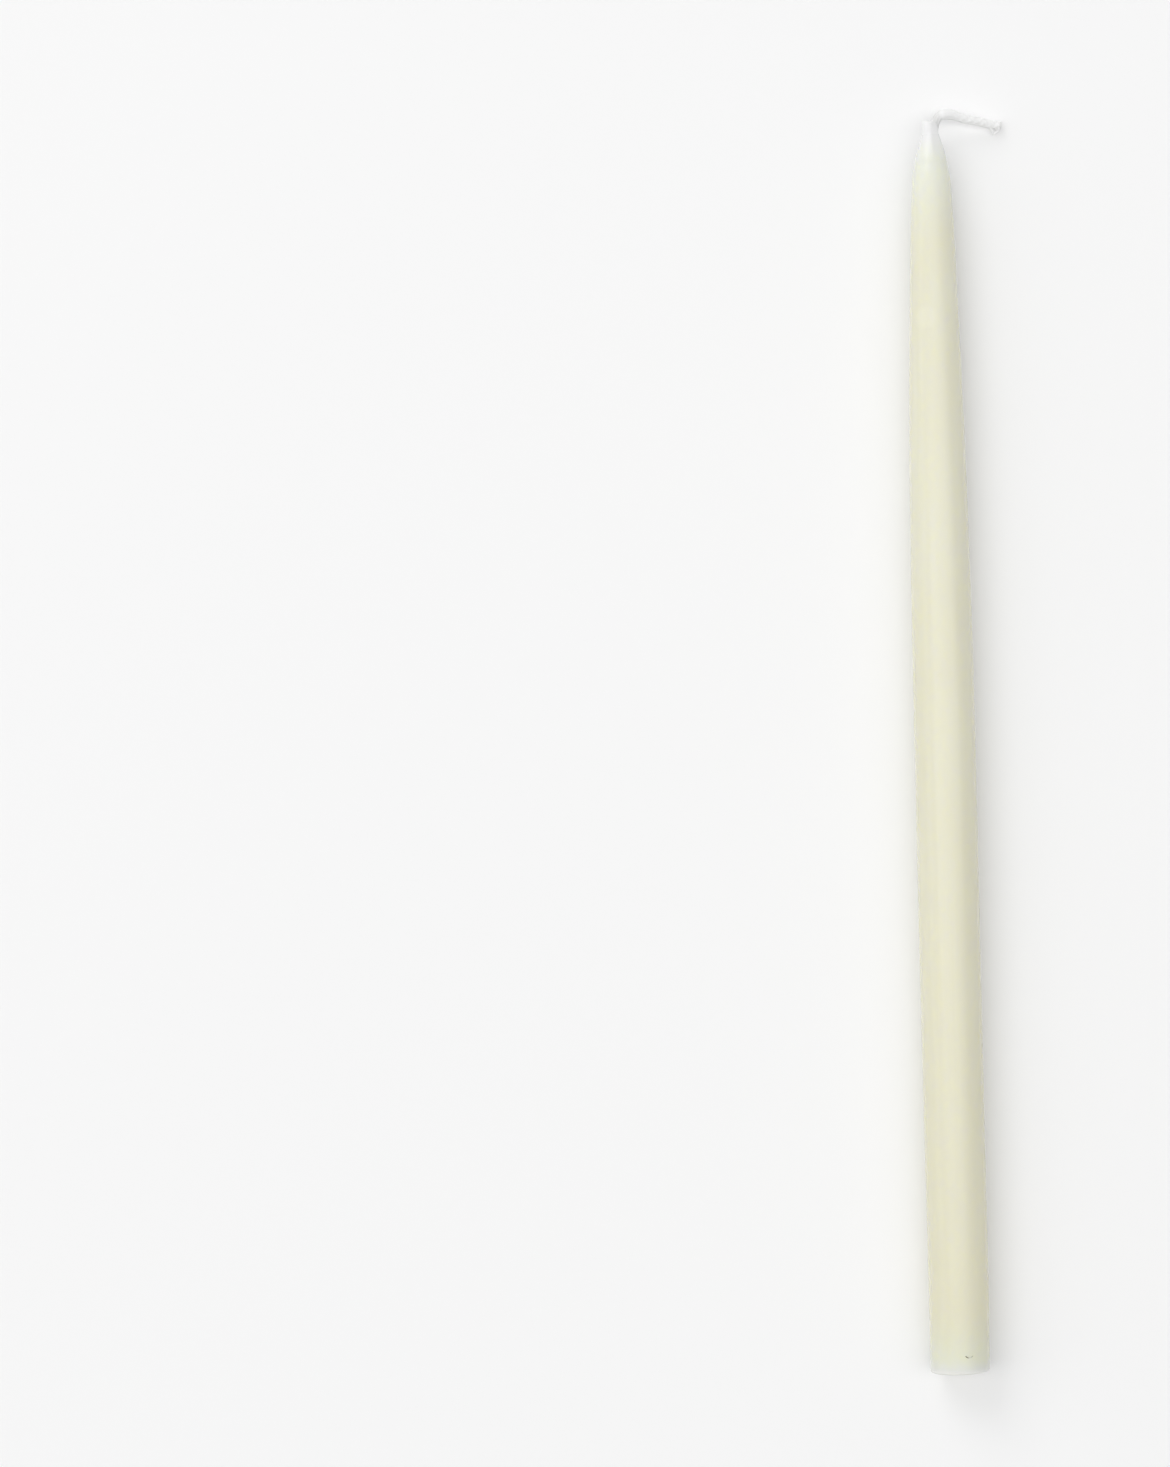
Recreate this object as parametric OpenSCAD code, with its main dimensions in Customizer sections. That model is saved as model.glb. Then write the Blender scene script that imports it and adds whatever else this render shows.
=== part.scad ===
// Hand-dipped taper candle with its wick, lying on its side on a flat surface.
// The origin is the centre of the flat butt. +Y runs along the axis to the tip and +Z is up.
// The surface under the candle is half a butt diameter below the axis.

/* [Wax body] */
// Length of the wax, from the flat butt to the end of the neck
wax_length = 290; // [220:1:400]
// Diameter of the straight lower stretch, which a holder grips
butt_d = 14.3; // [12:0.1:22]
// Length of the straight lower stretch
straight_length = 155.5; // [40:0.5:180]
// Radius of the rounding round the cut edge of the butt
butt_edge_r = 0.5; // [0.1:0.1:2]
// Diameter at the shoulder, where the long taper runs into the nose
shoulder_d = 9.2; // [7:0.1:11]
// Fullness of the long taper: 1 is a plain cone, more swells it outwards
taper_fullness = 1.8; // [1:0.1:3]

/* [Nose] */
// Length of the nose, from the shoulder to the neck
nose_length = 12; // [6:0.5:25]
// Fullness of the nose: 1 is a straight slope, more rounds the shoulder
nose_fullness = 2.2; // [1.5:0.1:4]
// Flare at the foot of the neck: more gives a longer hollow curve
nose_flare = 1.25; // [1:0.05:2]
// Length of the neck, the sleeve of wax that climbs the wick
neck_length = 3; // [1.5:0.1:8]
// Wall of wax round the wick in the neck
neck_wall = 0.8; // [0.5:0.05:1.5]
// Radius of the rounding round the end of the neck
neck_edge_r = 0.25; // [0.05:0.05:0.4]

/* [Wick] */
// Diameter of the braided cotton wick
wick_d = 2.2; // [1.5:0.1:3]
// Depth inside the neck at which the wick starts to bend
bend_depth = 1.2; // [0:0.1:1.4]
// Inside radius of the first bend, where the wick leaves the neck
first_bend_r = 1.9; // [1.5:0.1:6]
// Angle of the first bend
first_bend_angle = 40; // [25:1:60]
// Inside radius of the second bend, where the wick folds over
second_bend_r = 0.5; // [0.3:0.1:5]
// Angle of the second bend
second_bend_angle = 58; // [50:1:70]
// Length of the straight tail after the second bend
tail_length = 15.9; // [12:0.1:30]

/* [Hidden] */
$fn = 96;
taper_steps = 24;
nose_steps = 16;
edge_steps = 4;
wick_sides = 16;
bend_step_angle = 8;
wax_colour = "#f1ecd6";
wick_colour = "#f4f3ee";
butt_r = butt_d / 2;
shoulder_r = shoulder_d / 2;
wick_r = wick_d / 2;
neck_r = wick_r + neck_wall;
neck_start = wax_length - neck_length;
shoulder_start = neck_start - nose_length;

// Radius of the long taper at a height above the butt
function taper_radius(height) =
    let (share = (height - straight_length) / (shoulder_start - straight_length))
    butt_r - (butt_r - shoulder_r) * pow(share, taper_fullness);

// Radius of the nose at a share of its length, 0 at the neck and 1 at the shoulder
function nose_radius(share) =
    let (taper_r = taper_radius(neck_start - share * nose_length))
    let (rise = pow(1 - pow(1 - share, nose_fullness), nose_flare))
    neck_r + (taper_r - neck_r) * rise;

// A quarter round of the outline about a centre, from a starting angle
function rounded_edge(centre, radius, start) = [
    for (step = [0:edge_steps])
        let (angle = start + 90 * step / edge_steps)
        centre + radius * [cos(angle), sin(angle)]
];

// Half of the lengthwise section, from the butt up to the end of the neck
function wax_outline() = concat(
    [[0, 0]],
    rounded_edge([butt_r - butt_edge_r, butt_edge_r], butt_edge_r, -90),
    [for (step = [0:taper_steps])
        let (height = straight_length + (shoulder_start - straight_length) * step / taper_steps)
        [taper_radius(height), height]],
    [for (step = [1:nose_steps])
        let (share = 1 - step / nose_steps)
        [nose_radius(share), neck_start - share * nose_length]],
    rounded_edge([neck_r - neck_edge_r, wax_length - neck_edge_r], neck_edge_r, 0),
    [[0, wax_length]]
);

// The wick's run is a list of stations in one plane. Each holds the distance from
// the candle's axis, the height and the angle that the wick has turned through.

// The stations round a bend that carries on from a station
function bend(start, inside_r, turn) =
    let (axis_r = inside_r + wick_r)
    let (centre = [start.x + axis_r * cos(start.z), start.y - axis_r * sin(start.z)])
    let (steps = ceil(turn / bend_step_angle))
    [for (step = [1:steps])
        let (angle = start.z + turn * step / steps)
        [centre.x - axis_r * cos(angle), centre.y + axis_r * sin(angle), angle]];

butt_station = [0, 0, 0];
bend_start = [0, wax_length - bend_depth, 0];
first_bend = bend(bend_start, first_bend_r, first_bend_angle);
second_bend = bend(first_bend[len(first_bend) - 1], second_bend_r, second_bend_angle);
tail_start = second_bend[len(second_bend) - 1];
tail_end = tail_start + tail_length * [sin(tail_start.z), cos(tail_start.z), 0];
stations = concat([butt_station, bend_start], first_bend, second_bend, [tail_end]);

// The wick droops until its end touches the surface that the candle lies on
droop = asin((butt_r - wick_r) / tail_end.x);

// The corners of the wick's section at a station
function wick_ring(station) = [
    for (side = [0:wick_sides - 1])
        let (angle = 360 * side / wick_sides)
        let (aside = wick_r * cos(angle))
        [station.x + aside * cos(station.z), station.y - aside * sin(station.z), wick_r * sin(angle)]
];

// The faces between a ring and the next one
function ring_faces(ring) =
    let (first = ring * wick_sides)
    [for (side = [0:wick_sides - 1])
        let (next = (side + 1) % wick_sides)
        [first + side, first + next, first + wick_sides + next, first + wick_sides + side]];

// The wick runs the whole length of the wax, leaves the neck, folds over and droops
module wick_run() {
    last = len(stations) - 1;
    points = [for (station = stations) each wick_ring(station)];
    butt_face = [for (side = [wick_sides - 1:-1:0]) side];
    end_face = [for (side = [0:wick_sides - 1]) last * wick_sides + side];
    faces = [butt_face, for (ring = [0:last - 1]) each ring_faces(ring), end_face];
    rotate([0, droop, 0])
        polyhedron(points, faces);
}

module wax_body() {
    color(wax_colour)
        difference() {
            rotate([-90, 0, 0])
                rotate_extrude()
                    polygon(wax_outline());
            wick_run();
        }
}

module wick() {
    color(wick_colour)
        wick_run();
}

wax_body();
wick();
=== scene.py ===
import math
import random

import bmesh
import bpy
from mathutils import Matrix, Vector, noise


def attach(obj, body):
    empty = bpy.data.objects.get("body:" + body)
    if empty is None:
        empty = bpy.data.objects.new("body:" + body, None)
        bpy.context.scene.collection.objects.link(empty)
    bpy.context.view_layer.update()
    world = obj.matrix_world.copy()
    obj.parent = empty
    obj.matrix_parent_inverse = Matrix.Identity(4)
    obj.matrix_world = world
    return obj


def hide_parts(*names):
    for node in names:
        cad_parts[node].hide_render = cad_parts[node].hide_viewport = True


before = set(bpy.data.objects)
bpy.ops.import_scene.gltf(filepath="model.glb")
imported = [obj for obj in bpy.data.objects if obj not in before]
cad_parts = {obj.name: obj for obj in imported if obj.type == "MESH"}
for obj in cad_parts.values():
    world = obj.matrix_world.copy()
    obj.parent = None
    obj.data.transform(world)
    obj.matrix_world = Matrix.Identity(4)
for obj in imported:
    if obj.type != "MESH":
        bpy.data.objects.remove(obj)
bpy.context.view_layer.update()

# Everything is in metres in the solid model's frame: the origin is the centre of the flat
# butt, +Y runs along the candle to its tip and +Z is up.
MM = 0.001

# The wax's outline, as in the solid model, but for a rounder end of the neck
WAX_LENGTH = 290 * MM
BUTT_R = 7.15 * MM
STRAIGHT_LENGTH = 155.5 * MM
BUTT_EDGE_R = 0.5 * MM
SHOULDER_R = 4.6 * MM
TAPER_FULLNESS = 1.8
NOSE_LENGTH = 12 * MM
NOSE_FULLNESS = 2.2
NOSE_FLARE = 1.25
NECK_LENGTH = 3 * MM
NECK_R = 1.9 * MM
NECK_EDGE_R = 0.45 * MM
NECK_START = WAX_LENGTH - NECK_LENGTH
SHOULDER = NECK_START - NOSE_LENGTH
# How much slimmer the dipped wax is than the plain curve of the solid model: a height, and
# the change of radius there, both in mm
SLIM = [(0, 0.28), (30, 0.22), (60, 0.15), (110, 0.1), (155, 0.12), (190, 0.1), (215, 0.0),
        (262, 0.0), (273.7, 0.06), (277.4, 0.17), (279.3, 0.28), (281.1, 0.14), (284, 0.08),
        (290, 0.08)]
# Below this height in mm the slimmer wax sinks onto the floor
ON_FLOOR = 215

# The points round the wick's end in the butt and over the wick at the neck: a radius, and a
# height above the cut or above the neck, both in mm. The cut face has rings at these radii.
BUTT_DIMPLE = [(0, 0.18), (0.9, 0.16), (1.1, 0.12), (1.2, 0.03)]
CUT_FACE_RINGS = [1.35, 2, 3, 4, 5, 6]
NECK_CAP = [(1, 0.12), (0.5, 0.16), (0, 0.17)]

# How finely the wax is turned
TURN_STEPS = 96
RING_GAP = 1.25 * MM
NOSE_RINGS = 30
NECK_RINGS = 6
EDGE_STEPS = 5
MERGE_GAP = 0.001 * MM

# Hand dipping leaves the wax a little uneven, in slow swells and in finer ripples: how far
# each moves the skin, how often it changes round the candle, and how often along a metre. The
# ripples start at another place in the noise.
SWELL = 0.05 * MM
SWELLS_ROUND = 0.8
SWELLS_ALONG = 9
RIPPLE = 0.03 * MM
RIPPLES_ROUND = 3.2
RIPPLES_ALONG = 14
RIPPLE_START = 7
# Within the first radius nothing is uneven, and from the second on it all is
STEADY_R = 1.4 * MM
UNEVEN_R = 6 * MM
# The wax bends slightly as it cools: a height, and how far it bends to the right, both in mm
BOW = [(0, 0.22), (16.5, 0.28), (63, 0.08), (109, -0.06), (156, -0.12), (190, -0.25),
       (215, -0.38), (248, -0.42), (271, -0.4), (281, -0.4), (287, -0.38), (289, -0.32),
       (290, -0.28)]
# The butt is cut a little off square, and the lip of the neck slopes up to the left
BUTT_SLANT = math.tan(math.radians(1.6))
BUTT_SLANT_REACH = 12 * MM
LIP_SLOPE = 0.28
LIP_REACH = 1.6 * MM

# The small curved nick in the wax above the butt: its arc's centre and radius, its width and
# depth, and the angles in degrees over which it starts and ends
NICK_CENTRE = Vector((1.75, 4.95, 6.9)) * MM
NICK_R = 1.0 * MM
NICK_WIDTH = 0.13 * MM
NICK_DEPTH = 0.14 * MM
NICK_STARTS = (-62, -38)
NICK_ENDS = (20, 52)
# Round the nick the faces are finer, out to this distance
NICK_REACH = 2.0 * MM
NICK_CUTS = 5

# The wick lies close under the wax on the right of the neck, so that side is nearly flat. It
# starts at one angle from straight up and faces another, and it forms between two heights.
# A higher power gives it a sharper corner.
FLAT_START = math.radians(3)
FLAT_FACES = math.radians(22)
FLAT_FROM = WAX_LENGTH - 12 * MM
FLAT_TO = WAX_LENGTH - 5 * MM
FLAT_POWER = 8
# At the end of the neck the wax draws in onto the wick on that side: the wick's middle there,
# how far out the wax ends up, the heights between which it draws in, how much of the way it
# goes, and from where to where across the neck. Only wax outside HUG_OUTSIDE moves, and the
# top of the neck sinks by a share of its height.
HUG_CENTRE = Vector((0.68, 0, -0.15)) * MM
HUG_R = 1.16 * MM
HUG_FROM = WAX_LENGTH - 3.2 * MM
HUG_TO = WAX_LENGTH - 0.3 * MM
HUG_SHARE = 0.85
HUG_LEFT = -0.5 * MM
HUG_RIGHT = 1 * MM
HUG_OUTSIDE = 1.3 * MM
TOP_SINKS = 0.16

# The wick's run in its own plane, in mm: out from the axis, and along the candle from the
# end of the neck. The plane droops to the right.
WICK_RUN = [(0.0, -286.0), (0.0, -200.0), (0.0, -100.0), (0.0, -20.0), (0.0, -9.0), (0.1, -4.5),
            (0.4, -2.2), (0.8, -0.8), (1.7, 0.7), (2.7, 1.28), (4.18, 1.46), (5.8, 1.22),
            (7.0, 0.88), (8.9, 0.45), (10.6, 0.17), (12.6, -0.13), (15.2, -0.57), (17.75, -0.86)]
WICK_DROOP = math.radians(19.75)
BRAID_START = WAX_LENGTH - 5 * MM
# The run is drawn as a smooth curve in fine steps, and its points are this far apart, in mm
FINE_STEP = 0.05
PATH_STEP = 0.25


def linear(hex_colour):
    """The linear colour of an sRGB hex value."""
    parts = [int(hex_colour[i:i + 2], 16) / 255 for i in (1, 3, 5)]
    return [p / 12.92 if p <= 0.04045 else ((p + 0.055) / 1.055) ** 2.4 for p in parts] + [1]


def smooth_step(low, high, value):
    """0 up to the first limit and 1 from the second on, with a smooth rise between them."""
    share = min(max((value - low) / (high - low), 0), 1)
    return share * share * (3 - 2 * share)


def between(table, value):
    """The value at a place in a table of (place, value) pairs, joined smoothly."""
    for (low, at_low), (high, at_high) in zip(table, table[1:]):
        if value <= high:
            return at_low + (at_high - at_low) * smooth_step(low, high, value)
    return table[-1][1]


def new_piece(name, bm, material):
    """A mesh object in the scene from a bmesh, with smooth faces and its material."""
    mesh = bpy.data.meshes.new(name)
    bm.to_mesh(mesh)
    bm.free()
    for face in mesh.polygons:
        face.use_smooth = True
    mesh.materials.append(material)
    piece = bpy.data.objects.new(name, mesh)
    bpy.context.scene.collection.objects.link(piece)
    return piece


def add(tree, kind, settings, inputs):
    """A node with its settings, and its inputs set to a value or linked to a socket."""
    node = tree.nodes.new(kind)
    for name, value in settings.items():
        setattr(node, name, value)
    for name, value in inputs.items():
        socket = node.inputs[name]
        if isinstance(value, bpy.types.NodeSocket):
            tree.links.new(value, socket)
        else:
            socket.default_value = value
    return node


def new_material(name):
    """An empty node material and its tree."""
    material = bpy.data.materials.new(name)
    material.use_nodes = True
    material.node_tree.nodes.clear()
    return material, material.node_tree


# The wax


def taper_radius(height):
    """Radius of the straight stretch and the long taper at a height above the butt."""
    share = max((height - STRAIGHT_LENGTH) / (SHOULDER - STRAIGHT_LENGTH), 0)
    return BUTT_R - (BUTT_R - SHOULDER_R) * share ** TAPER_FULLNESS


def outer_radius(height):
    """Radius of the wax, its nose and neck too, at a height above the butt."""
    if height <= SHOULDER:
        return taper_radius(height)
    share = max((NECK_START - height) / NOSE_LENGTH, 0)
    rise = (1 - (1 - share) ** NOSE_FULLNESS) ** NOSE_FLARE
    return NECK_R + (taper_radius(min(height, NECK_START)) - NECK_R) * rise


def flat_side(turn):
    """How far out the flat side is at an angle from straight up, against the round neck."""
    flat = math.cos(turn - FLAT_FACES) / math.cos(FLAT_START - FLAT_FACES)
    return (flat ** FLAT_POWER + math.sin(turn) ** FLAT_POWER) ** (-1 / FLAT_POWER)


def quarter_round(centre, radius, start):
    """The points of a rounded edge about a centre, from a starting angle in degrees."""
    angles = [math.radians(start + 90 * i / EDGE_STEPS) for i in range(EDGE_STEPS + 1)]
    return [(centre[0] + radius * math.cos(a), centre[1] + radius * math.sin(a)) for a in angles]


def wax_outline():
    """(radius, height) points from the wick in the butt, over the outside, to the wick's exit."""
    points = [(radius * MM, rise * MM) for radius, rise in BUTT_DIMPLE]
    points += [(radius * MM, 0) for radius in CUT_FACE_RINGS]
    points += quarter_round((BUTT_R - BUTT_EDGE_R, BUTT_EDGE_R), BUTT_EDGE_R, -90)
    start = 2 * BUTT_EDGE_R
    rings = round((SHOULDER - start) / RING_GAP)
    for ring in range(rings):
        height = start + (SHOULDER - start) * ring / rings
        points.append((outer_radius(height), height))
    for ring in range(NOSE_RINGS):
        height = SHOULDER + NOSE_LENGTH * ring / NOSE_RINGS
        points.append((outer_radius(height), height))
    for ring in range(NECK_RINGS):
        height = NECK_START + (NECK_LENGTH - NECK_EDGE_R) * ring / NECK_RINGS
        points.append((NECK_R, height))
    points += quarter_round((NECK_R - NECK_EDGE_R, WAX_LENGTH - NECK_EDGE_R), NECK_EDGE_R, 0)
    points += [(radius * MM, WAX_LENGTH + rise * MM) for radius, rise in NECK_CAP]
    return points


def nick_depth(point):
    """How far the nick pushes the surface in at a point."""
    out = point - NICK_CENTRE
    off_arc = math.hypot(out.x, out.y) - NICK_R
    turn = math.degrees(math.atan2(out.x, -out.y))
    along = smooth_step(*NICK_STARTS, turn) * (1 - smooth_step(*NICK_ENDS, turn))
    return NICK_DEPTH * along * math.exp(-(off_arc / NICK_WIDTH) ** 2) if point.z > 0 else 0


def dip_unevenly(bm):
    """Moves the turned wax to its hand-dipped, slightly bowed shape on the floor."""
    for vert in bm.verts:
        height = vert.co.y
        around = Vector((vert.co.x, 0, vert.co.z))
        radius = around.length
        bow = Vector((between(BOW, height / MM) * MM, 0, 0))
        slim = between(SLIM, height / MM) * MM
        if radius > STEADY_R:
            side = around.normalized()
            swell = noise.noise(Vector((side.x * SWELLS_ROUND, height * SWELLS_ALONG,
                                        side.z * SWELLS_ROUND)))
            ripple = noise.noise(Vector((side.x * RIPPLES_ROUND,
                                         height * RIPPLES_ALONG + RIPPLE_START,
                                         side.z * RIPPLES_ROUND)))
            fade = smooth_step(STEADY_R, UNEVEN_R, radius)
            radius_change = (SWELL * swell + RIPPLE * ripple) * fade
            vert.co += side * (radius_change - nick_depth(vert.co + bow) - slim)
        turn = math.atan2(vert.co.x, vert.co.z)
        if FLAT_START < turn < math.pi / 2:
            scale = 1 + (flat_side(turn) - 1) * smooth_step(FLAT_FROM, FLAT_TO, height)
            vert.co.x *= scale
            vert.co.z *= scale
        drawn = smooth_step(HUG_FROM, HUG_TO, height)
        if drawn and radius > HUG_OUTSIDE:
            vert.co.z *= 1 - TOP_SINKS * drawn * (vert.co.z > 0)
            out = vert.co - HUG_CENTRE
            out.y = 0
            drawn *= HUG_SHARE * smooth_step(HUG_LEFT, HUG_RIGHT, vert.co.x)
            vert.co += out * (HUG_R / out.length - 1) * drawn
        if height < BUTT_SLANT_REACH:
            vert.co.y += vert.co.x * BUTT_SLANT * (1 - height / BUTT_SLANT_REACH)
        # The lip of the neck stands higher on the side that the wick bends away from
        lip = smooth_step(WAX_LENGTH - LIP_REACH, WAX_LENGTH, height)
        vert.co.y -= lip * (vert.co.x + NECK_R) * LIP_SLOPE
        vert.co += bow
        if height < ON_FLOOR * MM:
            vert.co.z -= slim


def build_wax(material):
    """The wax, turned from its outline and then made uneven by the dips."""
    bm = bmesh.new()
    verts = [bm.verts.new((radius, height, 0)) for radius, height in wax_outline()]
    edges = [bm.edges.new(pair) for pair in zip(verts, verts[1:])]
    bmesh.ops.spin(bm, geom=verts + edges, cent=(0, 0, 0), axis=(0, 1, 0), dvec=(0, 0, 0),
                   angle=2 * math.pi, steps=TURN_STEPS, use_merge=True)
    bmesh.ops.remove_doubles(bm, verts=bm.verts, dist=MERGE_GAP)
    # Finer faces where the nick is, brought back onto the round surface
    near = [edge for edge in bm.edges
            if all((vert.co - NICK_CENTRE).length < NICK_REACH for vert in edge.verts)]
    made = bmesh.ops.subdivide_edges(bm, edges=near, cuts=NICK_CUTS, use_grid_fill=True)
    for vert in (part for part in made["geom"] if isinstance(part, bmesh.types.BMVert)):
        around = Vector((vert.co.x, 0, vert.co.z))
        vert.co += around.normalized() * (BUTT_R - around.length)
    dip_unevenly(bm)
    bmesh.ops.recalc_face_normals(bm, faces=bm.faces)
    return new_piece("candle_wax", bm, material)


def wax_material():
    """Bleached paraffin and stearin wax with an ivory dye, dipped by hand.

    To the eye it is a soft satin skin over a body that light soaks into, so its shadow side
    glows warm. The dips leave faint lengthwise streaks, and thin wax at the nose and the
    knife's bruise at the butt turn white.
    """
    material, tree = new_material("dipped ivory wax")
    place = add(tree, "ShaderNodeTexCoord", {}, {}).outputs["Object"]
    parts = add(tree, "ShaderNodeSeparateXYZ", {}, {"Vector": place})
    height = parts.outputs["Y"]

    # Streaks about 1.5 mm wide and 60 mm long, cloudy patches about 10 mm wide and 30 mm long
    long_place = add(tree, "ShaderNodeMapping", {"vector_type": "POINT"},
                     {"Vector": place, "Scale": (1, 0.025, 1)}).outputs["Vector"]
    streaks = add(tree, "ShaderNodeTexNoise", {"noise_dimensions": "3D"},
                  {"Vector": long_place, "Scale": 650, "Detail": 3, "Roughness": 0.55}).outputs["Fac"]
    cloud_place = add(tree, "ShaderNodeMapping", {"vector_type": "POINT"},
                      {"Vector": place, "Scale": (1, 0.3, 1)}).outputs["Vector"]
    clouds = add(tree, "ShaderNodeTexNoise", {"noise_dimensions": "3D"},
                 {"Vector": cloud_place, "Scale": 110, "Detail": 4, "Roughness": 0.6}).outputs["Fac"]
    # The skin's fine orange peel, about 0.8 mm
    peel = add(tree, "ShaderNodeTexNoise", {"noise_dimensions": "3D"},
               {"Vector": place, "Scale": 1200, "Detail": 4, "Roughness": 0.6}).outputs["Fac"]

    # The ivory is paler in the cloudy patches and towards the nose, with thin pale streaks
    shade = add(tree, "ShaderNodeMapRange", {"interpolation_type": "SMOOTHSTEP"},
                {"Value": clouds, "From Min": 0.3, "From Max": 0.7}).outputs["Result"]
    upwards = add(tree, "ShaderNodeMapRange", {"interpolation_type": "LINEAR"},
                  {"Value": height, "From Min": 0, "From Max": 270 * MM}).outputs["Result"]
    deep = add(tree, "ShaderNodeMix", {"data_type": "RGBA"},
               {"Factor": upwards, 6: linear("#dfdcc5"), 7: linear("#e2e0cd")}).outputs[2]
    pale = add(tree, "ShaderNodeMix", {"data_type": "RGBA"},
               {"Factor": upwards, 6: linear("#e0ddc7"), 7: linear("#e3e2d1")}).outputs[2]
    body = add(tree, "ShaderNodeMix", {"data_type": "RGBA"},
               {"Factor": shade, 6: deep, 7: pale}).outputs[2]
    line = add(tree, "ShaderNodeMapRange", {"interpolation_type": "SMOOTHSTEP"},
               {"Value": streaks, "From Min": 0.52, "From Max": 0.72, "To Max": 0.07}).outputs["Result"]
    body = add(tree, "ShaderNodeMix", {"data_type": "RGBA"},
               {"Factor": line, 6: body, 7: linear("#f0ecd9")}).outputs[2]

    # The nose turns white over its last 30 mm, where the wax is thin and cools first
    nose = add(tree, "ShaderNodeMapRange", {"interpolation_type": "SMOOTHSTEP"},
               {"Value": height, "From Min": 258 * MM, "From Max": 285.5 * MM}).outputs["Result"]
    body = add(tree, "ShaderNodeMix", {"data_type": "RGBA"},
               {"Factor": nose, 6: body, 7: linear("#e6e8df")}).outputs[2]
    neck = add(tree, "ShaderNodeMapRange", {"interpolation_type": "SMOOTHSTEP"},
               {"Value": height, "From Min": 279 * MM, "From Max": 287 * MM}).outputs["Result"]
    body = add(tree, "ShaderNodeMix", {"data_type": "RGBA"},
               {"Factor": neck, 6: body, 7: linear("#e9e9e9")}).outputs[2]

    # Towards the butt the wax turns paler and a little green over its last 16 mm
    low = add(tree, "ShaderNodeMapRange", {"interpolation_type": "SMOOTHSTEP"},
              {"Value": height, "From Min": 1 * MM, "From Max": 16 * MM,
               "To Min": 0.7, "To Max": 0}).outputs["Result"]
    body = add(tree, "ShaderNodeMix", {"data_type": "RGBA"},
               {"Factor": low, 6: body, 7: linear("#dee1d2")}).outputs[2]

    # The knife bruises the last 4 mm at the butt, with a ragged edge
    ragged = add(tree, "ShaderNodeMath", {"operation": "MULTIPLY_ADD"},
                 {0: peel, 1: 1.2 * MM, 2: height}).outputs[0]
    cut = add(tree, "ShaderNodeMapRange", {"interpolation_type": "SMOOTHSTEP"},
              {"Value": ragged, "From Min": 0.9 * MM, "From Max": 4.6 * MM,
               "To Min": 0.9, "To Max": 0}).outputs["Result"]
    body = add(tree, "ShaderNodeMix", {"data_type": "RGBA"},
               {"Factor": cut, 6: body, 7: linear("#dcddda")}).outputs[2]
    # The cut face is a warmer white. Its rounded edge is painted lighter: painted light where that edge
    # faces away from the window and would be in shade
    face = add(tree, "ShaderNodeMapRange", {"interpolation_type": "SMOOTHSTEP"},
               {"Value": height, "From Min": 0.3 * MM, "From Max": 0.6 * MM,
                "To Min": 1, "To Max": 0}).outputs["Result"]
    body = add(tree, "ShaderNodeMix", {"data_type": "RGBA"},
               {"Factor": face, 6: body, 7: linear("#e3e1d4")}).outputs[2]
    flat_place = add(tree, "ShaderNodeVectorMath", {"operation": "MULTIPLY"},
                     {0: place, 1: (1, 0, 1)}).outputs["Vector"]
    from_axis = add(tree, "ShaderNodeVectorMath", {"operation": "LENGTH"},
                    {0: flat_place}).outputs["Value"]
    rim = add(tree, "ShaderNodeMapRange", {"interpolation_type": "SMOOTHSTEP"},
              {"Value": from_axis, "From Min": 5.9 * MM, "From Max": 6.6 * MM,
               "To Min": 0, "To Max": 0.8}).outputs["Result"]
    low_rim = add(tree, "ShaderNodeMapRange", {"interpolation_type": "SMOOTHSTEP"},
                  {"Value": height, "From Min": 0.4 * MM, "From Max": 1.2 * MM,
                   "To Min": 1, "To Max": 0}).outputs["Result"]
    painted_rim_light = add(tree, "ShaderNodeMath", {"operation": "MULTIPLY"}, {0: rim, 1: low_rim}).outputs[0]
    # Painted light: the rounded edge of the butt is lightened where shade falls on it
    body = add(tree, "ShaderNodeMix", {"data_type": "RGBA"},
               {"Factor": painted_rim_light, 6: body, 7: linear("#e2e2de")}).outputs[2]

    # A faint pale patch, about 5 mm across, where a drop ran on the last dip
    from_patch = add(tree, "ShaderNodeVectorMath", {"operation": "DISTANCE"},
                     {0: place, 1: (-2.6 * MM, 243.8 * MM, 4.5 * MM)}).outputs["Value"]
    patch = add(tree, "ShaderNodeMapRange", {"interpolation_type": "SMOOTHSTEP"},
                {"Value": from_patch, "From Min": 1.8 * MM, "From Max": 3.4 * MM,
                 "To Min": 0.16, "To Max": 0}).outputs["Result"]
    body = add(tree, "ShaderNodeMix", {"data_type": "RGBA"},
               {"Factor": patch, 6: body, 7: linear("#f1f0e2")}).outputs[2]

    # Dirt in the nick: dark at its left end, faint at its right end, little between
    from_nick = add(tree, "ShaderNodeVectorMath", {"operation": "SUBTRACT"},
                    {0: place, 1: tuple(NICK_CENTRE)}).outputs["Vector"]
    flat_nick = add(tree, "ShaderNodeVectorMath", {"operation": "MULTIPLY"},
                    {0: from_nick, 1: (1, 1, 0)}).outputs["Vector"]
    nick_r = add(tree, "ShaderNodeVectorMath", {"operation": "LENGTH"}, {0: flat_nick}).outputs["Value"]
    off_arc = add(tree, "ShaderNodeMath", {"operation": "SUBTRACT"}, {0: nick_r, 1: NICK_R}).outputs[0]
    off_arc = add(tree, "ShaderNodeMath", {"operation": "ABSOLUTE"}, {0: off_arc}).outputs[0]
    on_arc = add(tree, "ShaderNodeMapRange", {"interpolation_type": "SMOOTHSTEP"},
                 {"Value": off_arc, "From Min": 0.03 * MM, "From Max": 0.16 * MM,
                  "To Min": 1, "To Max": 0}).outputs["Result"]
    nick_parts = add(tree, "ShaderNodeSeparateXYZ", {}, {"Vector": from_nick})
    left_end = add(tree, "ShaderNodeMapRange", {"interpolation_type": "SMOOTHSTEP"},
                   {"Value": nick_parts.outputs["X"], "From Min": -0.4 * MM, "From Max": 0.1 * MM,
                    "To Min": 1, "To Max": 0.15}).outputs["Result"]
    right_end = add(tree, "ShaderNodeMapRange", {"interpolation_type": "SMOOTHSTEP"},
                    {"Value": nick_parts.outputs["X"], "From Min": 0.4 * MM, "From Max": 0.6 * MM,
                     "To Min": 0, "To Max": 0.3}).outputs["Result"]
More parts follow.
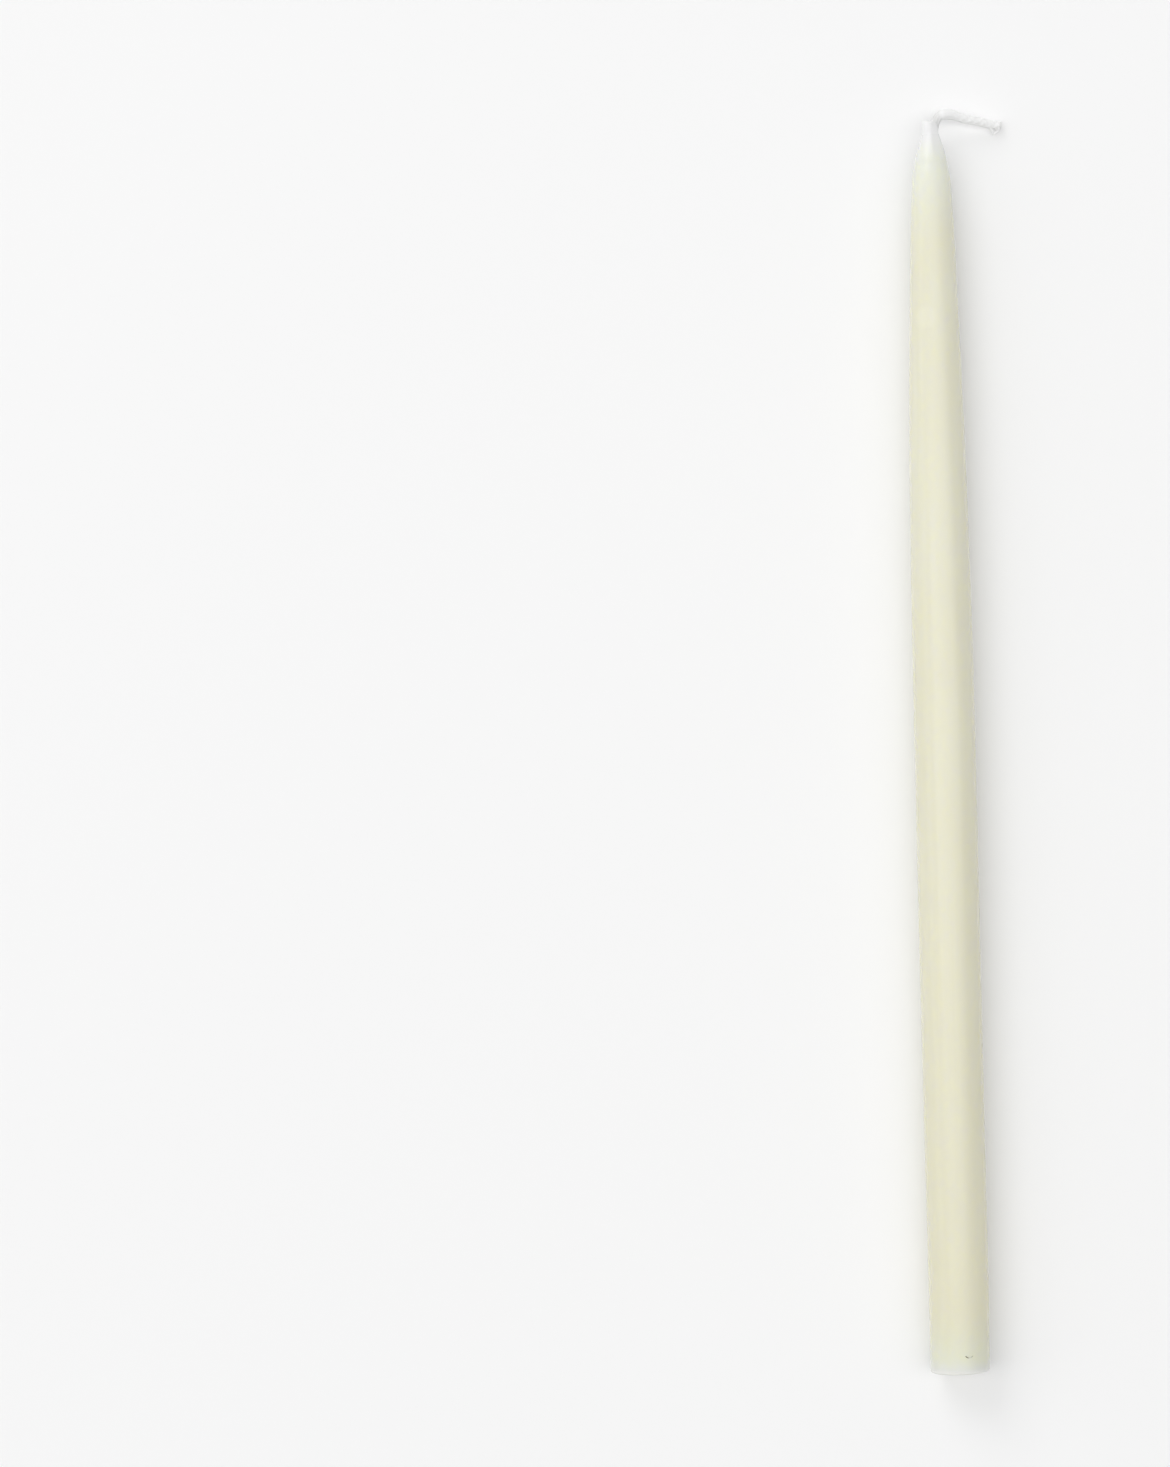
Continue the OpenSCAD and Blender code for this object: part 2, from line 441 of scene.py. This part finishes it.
    ends = add(tree, "ShaderNodeMath", {"operation": "ADD"}, {0: left_end, 1: right_end}).outputs[0]
    low_half = add(tree, "ShaderNodeMapRange", {"interpolation_type": "SMOOTHSTEP"},
                   {"Value": nick_parts.outputs["Y"], "From Min": -0.65 * MM, "From Max": -0.45 * MM,
                    "To Min": 1, "To Max": 0}).outputs["Result"]
    top_side = add(tree, "ShaderNodeMath", {"operation": "GREATER_THAN"},
                   {0: parts.outputs["Z"], 1: 0.0}).outputs[0]
    dirt = add(tree, "ShaderNodeMath", {"operation": "MULTIPLY"}, {0: on_arc, 1: ends}).outputs[0]
    dirt = add(tree, "ShaderNodeMath", {"operation": "MULTIPLY"}, {0: dirt, 1: low_half}).outputs[0]
    dirt = add(tree, "ShaderNodeMath", {"operation": "MULTIPLY"}, {0: dirt, 1: top_side}).outputs[0]
    body = add(tree, "ShaderNodeMix", {"data_type": "RGBA"},
               {"Factor": dirt, 6: body, 7: linear("#5f5535")}).outputs[2]

    # The skin has a satin gloss, which changes a little from patch to patch
    gloss = add(tree, "ShaderNodeMapRange", {"interpolation_type": "LINEAR"},
                {"Value": clouds, "From Min": 0.3, "From Max": 0.7,
                 "To Min": 0.19, "To Max": 0.23}).outputs["Result"]
    # The top of the neck and the cut face are matt
    top = add(tree, "ShaderNodeMapRange", {"interpolation_type": "SMOOTHSTEP"},
              {"Value": height, "From Min": 286 * MM, "From Max": 288 * MM}).outputs["Result"]
    matt = add(tree, "ShaderNodeMath", {"operation": "MAXIMUM"}, {0: face, 1: top}).outputs[0]
    gloss = add(tree, "ShaderNodeMix", {"data_type": "FLOAT"},
                {"Factor": matt, 2: gloss, 3: 0.55}).outputs[0]

    # The bumps: knife marks across the cut face, about 0.4 mm apart, the streaks and the peel
    marks = add(tree, "ShaderNodeTexWave", {"wave_type": "BANDS", "bands_direction": "X"},
                {"Vector": place, "Scale": 800, "Distortion": 3, "Detail": 3,
                 "Detail Scale": 0.4}).outputs["Fac"]
    marks = add(tree, "ShaderNodeMath", {"operation": "MULTIPLY"}, {0: marks, 1: face}).outputs[0]
    sliced = add(tree, "ShaderNodeBump", {}, {"Height": marks, "Strength": 1,
                                              "Distance": 0.025 * MM}).outputs["Normal"]
    ridges = add(tree, "ShaderNodeBump", {}, {"Height": streaks, "Strength": 1,
                                              "Distance": 0.012 * MM,
                                              "Normal": sliced}).outputs["Normal"]
    skin = add(tree, "ShaderNodeBump", {}, {"Height": peel, "Strength": 1, "Distance": 0.004 * MM,
                                            "Normal": ridges}).outputs["Normal"]

    # Light soaks less deep into the thin neck, whose wax is white and not dyed through
    depth = add(tree, "ShaderNodeMapRange", {"interpolation_type": "SMOOTHSTEP"},
                {"Value": height, "From Min": 272 * MM, "From Max": 286 * MM,
                 "To Min": 3 * MM, "To Max": 0.9 * MM}).outputs["Result"]
    # The dye keeps blue light from going far, and the white wax lets all colours through alike
    white = add(tree, "ShaderNodeMath", {"operation": "MAXIMUM"}, {0: neck, 1: cut}).outputs[0]
    tint = add(tree, "ShaderNodeMix", {"data_type": "VECTOR"},
               {"Factor": white, 4: (1, 0.98, 0.55), 5: (1, 1, 1)}).outputs[1]
    shader = add(tree, "ShaderNodeBsdfPrincipled", {"subsurface_method": "RANDOM_WALK"},
                 {"Base Color": body, "Roughness": gloss, "IOR": 1.44, "Normal": skin,
                  "Subsurface Weight": 1, "Subsurface Scale": depth,
                  "Subsurface Radius": tint})
    add(tree, "ShaderNodeOutputMaterial", {}, {"Surface": shader.outputs["BSDF"]})
    return material


# The wick


def wick_path():
    """Even points down the middle of the wick, in mm, in the wick's own plane."""
    knots = [Vector((out, WAX_LENGTH / MM + along)) for out, along in WICK_RUN]
    ends = [knots[0] * 2 - knots[1]] + knots + [knots[-1] * 2 - knots[-2]]
    # A smooth curve that passes through every knot
    fine = []
    for p0, p1, p2, p3 in zip(ends, ends[1:], ends[2:], ends[3:]):
        steps = max(2, round((p2 - p1).length / FINE_STEP))
        for step in range(steps):
            t = step / steps
            fine.append(0.5 * ((2 * p1) + (p2 - p0) * t + (2 * p0 - 5 * p1 + 4 * p2 - p3) * t * t
                               + (3 * p1 - p0 - 3 * p2 + p3) * t ** 3))
    fine.append(knots[-1])
    path = [fine[0]]
    walked = 0.0
    for last, point in zip(fine, fine[1:]):
        walked += (point - last).length
        if walked >= PATH_STEP:
            path.append(point)
            walked = 0.0
    return path


def in_space(flat):
    """A point of the wick's plane, in mm, moved into the drooped plane in the scene."""
    return Vector((flat.x * math.cos(WICK_DROOP), flat.y, -flat.x * math.sin(WICK_DROOP)))


def add_strand(curve, points, radii):
    """Adds a strand to a curve, through points, with a radius at each."""
    spline = curve.splines.new("POLY")
    spline.points.add(len(points) - 1)
    for spot, point, radius in zip(spline.points, points, radii):
        spot.co = (*point, 1)
        spot.radius = radius


def mesh_of(thing, modifiers):
    """The finished mesh of a curve or mesh object with its modifiers, which is then removed."""
    for kind, settings in modifiers:
        modifier = thing.modifiers.new(kind, kind)
        for name, value in settings.items():
            setattr(modifier, name, value)
    bpy.context.view_layer.update()
    ready = thing.evaluated_get(bpy.context.evaluated_depsgraph_get())
    mesh = bpy.data.meshes.new_from_object(ready)
    bpy.data.objects.remove(thing)
    return mesh


def new_curve(name):
    """A curve in the scene whose strands are round, and its object."""
    curve = bpy.data.curves.new(name, "CURVE")
    curve.dimensions = "3D"
    curve.bevel_depth = 1
    curve.bevel_resolution = 2
    curve.use_fill_caps = True
    thing = bpy.data.objects.new(name, curve)
    bpy.context.scene.collection.objects.link(thing)
    return curve, thing


# The square braid, in mm: four strands wind each way round a core, over and under in turn.
# Each has its middle at the braid's radius, and the weave moves it in and out.
STRANDS_EACH_WAY = 4
BRAID_PITCH = 6.4
BRAID_R = 0.66
BRAID_WEAVE = 0.10
STRAND_R = 0.36
CORE_R = 0.98
# The yarn is a little thicker and thinner along its run: by how much, how often over a
# millimetre, and which row of the noise it follows
YARN_CHANGE = 0.05
YARN_CHANGES = 0.4
YARN_ROW = 3.1
# At the cut end the strands are cut back unevenly, spread out and get thinner
LOOSE_END = 1.8
CUT_BACK = 0.5
LOOSE_SPREAD = 0.10
LOOSE_THINNING = 0.12
# Extra wax round the core near the neck, and the run over which it gives out
COATED = 0.2
COATED_FROM = 4
COATED_TO = 13
# The wick is squeezed where it leaves the neck and swollen in its fold: its share of the full
# thickness, by run in mm
PINCH = [(0, 1), (3.4, 1), (4.6, 0.88), (5.5, 0.92), (6.6, 1.17), (7.8, 1.2), (10.5, 1.04),
         (14, 1)]
# One strand has sprung out of the braid in a kink before the cut end. Each point is how far it
# lies before the cut, how far out it is and the strand's radius there, in mm. As it goes out,
# it drops by a share of that.
SPRUNG_STRAND = [(2.75, 0.62, 0.33), (2.25, 1.0, 0.34), (1.75, 1.5, 0.3), (1.25, 2.1, 0.24),
                 (0.75, 1.6, 0.26), (0.25, 0.9, 0.3)]
SPRUNG_DROP = 0.5
# The braid's skin: the size of its cells, and how much it is smoothed
SKIN_CELL = 0.1
SKIN_SMOOTHING = {"factor": 0.5, "iterations": 5}
BRAID_SEED = 7


def braid(path, start, end, sprung):
    """The braid between two places on a path, as one waxed skin, with its sprung strand or not."""
    curve, thing = new_curve("braid")
    across = Vector((math.sin(WICK_DROOP), 0, math.cos(WICK_DROOP)))
    stretch = path[start:end]
    ways = [(point - last).normalized() for last, point in zip(path, path[1:])]
    ways.append(ways[-1])
    total = len(stretch) - 1
    rng = random.Random(BRAID_SEED)
    for direction in (1, -1):
        for number in range(STRANDS_EACH_WAY):
            points, radii = [], []
            cut_back = rng.random() * CUT_BACK
            for i, flat in enumerate(stretch):
                run = (start + i) * PATH_STEP
                left = (total - i) * PATH_STEP
                if left < cut_back:
                    break
                way = in_space(ways[start + i])
                aside = across.cross(way).normalized()
                turn = (direction * 2 * math.pi * run / BRAID_PITCH
                        + 2 * math.pi / STRANDS_EACH_WAY * number)
                weave = math.cos(STRANDS_EACH_WAY * 2 * math.pi * run / BRAID_PITCH)
                loose = smooth_step(LOOSE_END, 0, left)
                size = 1 + YARN_CHANGE * noise.noise(Vector((run * YARN_CHANGES, YARN_ROW, 0)))
                size *= between(PINCH, i * PATH_STEP)
                reach = (BRAID_R + direction * BRAID_WEAVE * weave) * size + LOOSE_SPREAD * loose
                out = aside * math.cos(turn) + across * math.sin(turn)
                points.append(in_space(flat) + reach * out)
                radii.append(STRAND_R * size * (1 - LOOSE_THINNING * loose))
            add_strand(curve, points, radii)
    # The core, and the wax from the dips, which fills the grooves near the neck
    points, radii = [], []
    for i, flat in enumerate(stretch[:total - 1]):
        run = i * PATH_STEP
        points.append(in_space(flat))
        coat = COATED * (1 - smooth_step(COATED_FROM, COATED_TO, run))
        radii.append((CORE_R + coat) * between(PINCH, run))
    add_strand(curve, points, radii)
    if sprung:
        points, radii = [], []
        for before, out, radius in SPRUNG_STRAND:
            i = total - round(before / PATH_STEP)
            aside = across.cross(in_space(ways[start + i])).normalized()
            drop = SPRUNG_DROP * (out - SPRUNG_STRAND[0][1])
            points.append(in_space(stretch[i]) - aside * out - across * drop)
            radii.append(radius)
        add_strand(curve, points, radii)
    return mesh_of(thing, [("REMESH", {"mode": "VOXEL", "voxel_size": SKIN_CELL}),
                           ("SMOOTH", SKIN_SMOOTHING)])


# A spray of fine cotton hairs round the cut end, in mm: how many, how many points each has,
# how thick it is at first and how much thinner at each point. A hair starts a little inside the
# end, between these distances out, is as long as this, splays by up to the lean, and curls.
END_HAIRS = 34
END_HAIR_POINTS = 6
END_HAIR_R = 0.045
END_HAIR_THINNING = 0.004
END_HAIR_INSIDE = 0.5
END_HAIR_OUT = (0.2, 0.95)
END_HAIR_LENGTH = (0.5, 1.0)
END_HAIR_LEAN = 0.35
END_HAIR_CURL = (-0.1, 0.25)
# The hairs that lift off the tail's side and curl back to it, between two counts of path points
# before the cut
SIDE_HAIRS = 16
SIDE_HAIR_POINTS = 5
SIDE_HAIR_R = 0.03
SIDE_HAIR_STEP = 0.16
SIDE_HAIR_OUT = 0.95
SIDE_HAIR_LIFT = 0.6
SIDE_HAIR_CURL = 0.25
SIDE_HAIRS_FROM = 64
SIDE_HAIRS_TO = 8
# All hairs stay this far above the floor
HAIR_GAP = 0.05
HAIR_SEED = 11


def square_to(way):
    """Two directions square to each other and to the way along."""
    side = Vector((0, 1, 0)).cross(way).normalized()
    return side, way.cross(side)


def loose_fibres(path):
    """Fine cotton hairs at the cut end and a few along the braid."""
    curve, thing = new_curve("fibres")
    curve.bevel_resolution = 0
    rng = random.Random(HAIR_SEED)
    end = in_space(path[-1])
    way = (end - in_space(path[-6])).normalized()
    floor = -(BUTT_R / MM) + HAIR_GAP
    for hair in range(END_HAIRS):
        turn = rng.random() * 2 * math.pi
        reach = rng.uniform(*END_HAIR_OUT)
        side, up = square_to(way)
        lean = side * math.cos(turn) + up * math.sin(turn)
        point = end + lean * reach - way * END_HAIR_INSIDE
        step_way = (way + lean * END_HAIR_LEAN * rng.random()).normalized()
        points = []
        length = rng.uniform(*END_HAIR_LENGTH)
        for step in range(END_HAIR_POINTS):
            points.append(Vector((point.x, point.y, max(point.z, floor))))
            point = point + step_way * length / (END_HAIR_POINTS - 1)
            step_way = (step_way + lean * rng.uniform(*END_HAIR_CURL)).normalized()
        add_strand(curve, points, [END_HAIR_R - END_HAIR_THINNING * step
                                   for step in range(END_HAIR_POINTS)])
    for hair in range(SIDE_HAIRS):
        spot = rng.randrange(len(path) - SIDE_HAIRS_FROM, len(path) - SIDE_HAIRS_TO)
        centre = in_space(path[spot])
        way = (in_space(path[spot + 2]) - centre).normalized()
        turn = rng.random() * 2 * math.pi
        side, up = square_to(way)
        lean = side * math.cos(turn) + up * math.sin(turn)
        points = []
        point = centre + lean * SIDE_HAIR_OUT
        step_way = (way * rng.choice((-1, 1)) + lean * SIDE_HAIR_LIFT).normalized()
        for step in range(SIDE_HAIR_POINTS):
            points.append(Vector((point.x, point.y, max(point.z, floor))))
            point = point + step_way * SIDE_HAIR_STEP
            step_way = (step_way - lean * SIDE_HAIR_CURL).normalized()
        add_strand(curve, points, [SIDE_HAIR_R] * SIDE_HAIR_POINTS)
    return mesh_of(thing, [])


# Inside the wax the wick is a plain core, in mm, with a point at every eighth path point, and it
# runs on a little into the braid of the neck. The braid that shows in the cut face of the butt
# has this many points and starts this far in.
HIDDEN_R = 0.95
HIDDEN_STEP = 8
HIDDEN_PAST = 4
BUTT_END_POINTS = 18
BUTT_END_START = 0.04
# Distances from the wick's middle at which the groove and the crown of a strand lie, in mm
GROOVE_R = 0.9
CROWN_R = 1.1
# The cotton starts to dry this far out from the axis, is dry by its first share at the next
# place and fully dry at the last, in mm. The same ramp also lifts painted shade off the fold by
# the neck, so the darker neck end is partly wax-soaked cotton and partly painted shade.
DRY_AND_SHADE_PLACES = (0.8, 2.8, 15)
FIRST_DRY_AND_SHADE = 0.8


def build_wick(material):
    """The wick: its hidden core, the braid at both ends and the loose hairs."""
    path = wick_path()
    neck = next(i for i, flat in enumerate(path) if flat.y * MM > BRAID_START)
    bm = bmesh.new()
    curve, thing = new_curve("hidden_core")
    inside = [in_space(flat) for flat in path[HIDDEN_STEP:neck + HIDDEN_PAST:HIDDEN_STEP]]
    add_strand(curve, inside, [HIDDEN_R] * len(inside))
    low = [Vector((0, BUTT_END_START + PATH_STEP * i)) for i in range(BUTT_END_POINTS)]
    meshes = [mesh_of(thing, []), braid(low, 0, len(low), False),
              braid(path, neck, len(path), True), loose_fibres(path)]
    for mesh in meshes:
        bm.from_mesh(mesh)
        bpy.data.meshes.remove(mesh)
    bmesh.ops.recalc_face_normals(bm, faces=bm.faces)
    # How far each point stands out from the wick's middle: 0 in a groove, 1 on a strand
    strand = bm.verts.layers.float.new("strand_height")
    dry_and_shade = bm.verts.layers.float.new("dryness_and_shade")
    middle = [in_space(flat) for flat in path[neck:]]
    for vert in bm.verts:
        if vert.co.y * MM > BRAID_START:
            out = min((vert.co - point).length for point in middle)
        else:
            # The wick's lower end moves with the wax of the butt
            out = math.hypot(vert.co.x, vert.co.z)
            vert.co.x += BOW[0][1]
            vert.co.z -= SLIM[0][1]
        vert[strand] = smooth_step(GROOVE_R, CROWN_R, out)
        # How dry the cotton is, soaked with wax at the neck and nearly dry along the tail. This ramp
        # also carries painted shade on the fold by the neck
        vert[dry_and_shade] = (FIRST_DRY_AND_SHADE * smooth_step(DRY_AND_SHADE_PLACES[0], DRY_AND_SHADE_PLACES[1], vert.co.x)
                     + (1 - FIRST_DRY_AND_SHADE) * smooth_step(DRY_AND_SHADE_PLACES[1], DRY_AND_SHADE_PLACES[2], vert.co.x))
        vert.co *= MM
    return new_piece("braided_wick", bm, material)


def wick_material():
    """Bleached cotton yarn, square-braided and soaked in clear wax.

    To the eye it is white, and its grooves are painted a soft grey as painted shade. It is matt
    where the yarn stands out and a little glossy where wax fills the braid.
    """
    material, tree = new_material("waxed cotton braid")
    place = add(tree, "ShaderNodeTexCoord", {}, {}).outputs["Object"]
    strand = add(tree, "ShaderNodeAttribute", {"attribute_name": "strand_height"}, {}).outputs["Fac"]
    # Cotton fibres are about 0.02 mm, drawn as 0.12 mm so that they show
    fibre_place = add(tree, "ShaderNodeMapping", {"vector_type": "POINT"},
                      {"Vector": place, "Scale": (0.35, 1, 1)}).outputs["Vector"]
    fibres = add(tree, "ShaderNodeTexNoise", {"noise_dimensions": "3D"},
                 {"Vector": fibre_place, "Scale": 8000, "Detail": 3, "Roughness": 0.6}).outputs["Fac"]
    wax_film = add(tree, "ShaderNodeTexNoise", {"noise_dimensions": "3D"},
                   {"Vector": place, "Scale": 700, "Detail": 2, "Roughness": 0.5}).outputs["Fac"]
    dryness_and_shade = add(tree, "ShaderNodeAttribute", {"attribute_name": "dryness_and_shade"}, {}).outputs["Fac"]
    # The darker greys at the root are partly wax-soaked cotton and partly painted shade on the fold by
    # the neck
    shaded_groove = add(tree, "ShaderNodeMix", {"data_type": "RGBA"},
                 {"Factor": dryness_and_shade, 6: linear("#d8d8d7"), 7: linear("#f5f5f4")}).outputs[2]
    crown = add(tree, "ShaderNodeMix", {"data_type": "RGBA"},
                {"Factor": dryness_and_shade, 6: linear("#dededd"), 7: linear("#fafafa")}).outputs[2]
    # The grooves are painted a shade greyer than the crowns: painted shade in the braid's grooves
    yarn = add(tree, "ShaderNodeMix", {"data_type": "RGBA"},
               {"Factor": strand, 6: shaded_groove, 7: crown}).outputs[2]
    fuzz = add(tree, "ShaderNodeMapRange", {"interpolation_type": "LINEAR"},
               {"Value": fibres, "From Min": 0.35, "From Max": 0.65, "To Max": 0.2}).outputs["Result"]
    fuzz = add(tree, "ShaderNodeMath", {"operation": "MULTIPLY"}, {0: fuzz, 1: dryness_and_shade}).outputs[0]
    yarn = add(tree, "ShaderNodeMix", {"data_type": "RGBA"},
               {"Factor": fuzz, 6: yarn, 7: linear("#f3f3f1")}).outputs[2]
    gloss = add(tree, "ShaderNodeMapRange", {"interpolation_type": "LINEAR"},
                {"Value": wax_film, "From Min": 0.35, "From Max": 0.65,
                 "To Min": 0.42, "To Max": 0.75}).outputs["Result"]
    film = add(tree, "ShaderNodeBump", {}, {"Height": wax_film, "Strength": 1,
                                            "Distance": 0.035 * MM}).outputs["Normal"]
    nap = add(tree, "ShaderNodeBump", {}, {"Height": fibres, "Strength": 1, "Distance": 0.015 * MM,
                                           "Normal": film}).outputs["Normal"]
    shader = add(tree, "ShaderNodeBsdfPrincipled", {"subsurface_method": "RANDOM_WALK"},
                 {"Base Color": yarn, "Roughness": gloss, "IOR": 1.44, "Normal": nap,
                  "Subsurface Weight": 0.6, "Subsurface Scale": 0.5 * MM,
                  "Subsurface Radius": (1, 1, 1), "Sheen Weight": 0.1,
                  "Sheen Roughness": 0.5})
    add(tree, "ShaderNodeOutputMaterial", {}, {"Surface": shader.outputs["BSDF"]})
    return material


# The floor, the light and the camera

PALE = "#f7f7f7"
# Half the side of the floor
FLOOR_REACH = 6.0


def floor_material():
    """White painted board. It keeps the candle's soft shadow and runs into the pale room."""
    material, tree = new_material("white painted board")
    place = add(tree, "ShaderNodeTexCoord", {}, {}).outputs["Object"]
    away = add(tree, "ShaderNodeVectorMath", {"operation": "LENGTH"}, {0: place}).outputs["Value"]
    # From half a metre out the floor fades into the colour of the room, for the camera alone
    far = add(tree, "ShaderNodeMapRange", {"interpolation_type": "SMOOTHSTEP"},
              {"Value": away, "From Min": 0.5, "From Max": 1.3}).outputs["Result"]
    seen = add(tree, "ShaderNodeLightPath", {}, {}).outputs["Is Camera Ray"]
    glow = add(tree, "ShaderNodeMath", {"operation": "MULTIPLY"}, {0: far, 1: seen}).outputs[0]
    # The paint's grain, about 1.1 mm
    grain = add(tree, "ShaderNodeTexNoise", {"noise_dimensions": "3D"},
                {"Vector": place, "Scale": 900, "Detail": 2}).outputs["Fac"]
    surface = add(tree, "ShaderNodeBump", {}, {"Height": grain, "Distance": 0.01 * MM}).outputs["Normal"]
    board = add(tree, "ShaderNodeBsdfPrincipled", {},
                {"Base Color": linear(PALE), "Roughness": 0.8, "Specular IOR Level": 0.1,
                 "Normal": surface}).outputs["BSDF"]
    room = add(tree, "ShaderNodeEmission", {}, {"Color": linear(PALE), "Strength": 1}).outputs[0]
    mixed = add(tree, "ShaderNodeMixShader", {}, {0: glow, 1: board, 2: room}).outputs[0]
    add(tree, "ShaderNodeOutputMaterial", {}, {"Surface": mixed})
    return material


def build_floor():
    """The floor that the candle lies on, wide enough for any view."""
    bm = bmesh.new()
    bmesh.ops.create_grid(bm, x_segments=1, y_segments=1, size=FLOOR_REACH)
    bmesh.ops.translate(bm, verts=bm.verts, vec=(0, WAX_LENGTH / 2, -BUTT_R))
    return new_piece("floor", bm, floor_material())


# The light from all round, as a share of white
ROOM_LIGHT = 0.447
# The lamps: how bright each looks, its middle seen from the nose, its width and its depth, and
# whether it is aimed at the nose or hangs flat. The wide softbox is a long strip across the
# candle, most of it on the left, and its right edge ends the bright band on the wax. The
# softbox end carries the strip on to the right at two thirds of its brightness, so that the
# band fades there. The window is beyond the nose on the left: it gives the shadow past the butt
# and the highlight on the nose. The side softbox stands low on the left, so that the wax is as
# bright at its left edge as on top.
LAMPS = {
    "wide_softbox": (2.3, (-1.25, -0.14, 4.0), 6.3, 1.7, False),
    "softbox_end": (1.6, (3.3, -0.14, 4.0), 2.8, 1.7, False),
    "window": (2.6, (-2.0, 3.2, 2.8), 2.6, 2.6, True),
    "side_softbox": (0.8, (-5.4, 0.9, 2.4), 4.5, 3.0, True),
}


def light_room():
    """A pale, evenly lit room, and lamps that the camera doesn't see."""
    world = bpy.data.worlds.new("pale room")
    world.use_nodes = True
    tree = world.node_tree
    tree.nodes.clear()
    path = add(tree, "ShaderNodeLightPath", {}, {})
    seen = add(tree, "ShaderNodeMath", {"operation": "MAXIMUM"},
               {0: path.outputs["Is Camera Ray"], 1: path.outputs["Is Transmission Ray"]}).outputs[0]
    seen = add(tree, "ShaderNodeMath", {"operation": "MAXIMUM"},
               {0: seen, 1: path.outputs["Is Glossy Ray"]}).outputs[0]
    soft = add(tree, "ShaderNodeBackground", {}, {"Color": (1, 1, 1, 1), "Strength": ROOM_LIGHT})
    pale = add(tree, "ShaderNodeBackground", {}, {"Color": linear(PALE), "Strength": 1})
    mixed = add(tree, "ShaderNodeMixShader", {},
                {0: seen, 1: soft.outputs[0], 2: pale.outputs[0]}).outputs[0]
    add(tree, "ShaderNodeOutputWorld", {}, {"Surface": mixed})
    bpy.context.scene.world = world

    for name, (brightness, middle, width, depth, aimed) in LAMPS.items():
        data = bpy.data.lights.new(name, "AREA")
        data.shape = "RECTANGLE"
        data.size = width
        data.size_y = depth
        # A flat lamp's power is its brightness times its area times pi
        data.energy = brightness * width * depth * math.pi
        lamp = bpy.data.objects.new(name, data)
        lamp.location = Vector(middle) + Vector((0, WAX_LENGTH, 0))
        if aimed:
            lamp.rotation_mode = "QUATERNION"
            lamp.rotation_quaternion = (-Vector(middle)).to_track_quat("-Z", "Y")
        lamp.visible_camera = False
        bpy.context.scene.collection.objects.link(lamp)


# The photograph looks straight down. At the candle's middle it has 4.315 pixels to a
# millimetre, and the butt's centre is at this pixel. The candle leans this far to the left. The
# lens and the sensor are in mm.
PIXELS_PER_METRE = 4315
PHOTO_SIZE = (1170, 1467)
BUTT_PIXEL = (959.5, 1371.0)
LEAN = math.radians(1.277)
LENS = 100
SENSOR = 36


def place_camera():
    """The camera straight above, where the whole frame matches the photograph's."""
    data = bpy.data.cameras.new("camera")
    data.lens = LENS
    data.sensor_width = SENSOR
    data.clip_start = 0.01
    data.clip_end = 20
    right = (PHOTO_SIZE[0] / 2 - BUTT_PIXEL[0]) / PIXELS_PER_METRE
    up = (BUTT_PIXEL[1] - PHOTO_SIZE[1] / 2) / PIXELS_PER_METRE
    camera = bpy.data.objects.new("camera", data)
    camera.location = (right * math.cos(LEAN) + up * math.sin(LEAN),
                       up * math.cos(LEAN) - right * math.sin(LEAN),
                       PHOTO_SIZE[1] * LENS / SENSOR / PIXELS_PER_METRE)
    camera.rotation_euler = (0, 0, -LEAN)
    bpy.context.scene.collection.objects.link(camera)
    bpy.context.scene.camera = camera


place_camera()
light_room()
bpy.context.scene.view_settings.view_transform = "Standard"

wax = build_wax(wax_material())
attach(wax, "root")
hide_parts("wax_body")

wick = build_wick(wick_material())
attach(wick, "root")
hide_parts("wick")

build_floor()

bpy.context.view_layer.update()
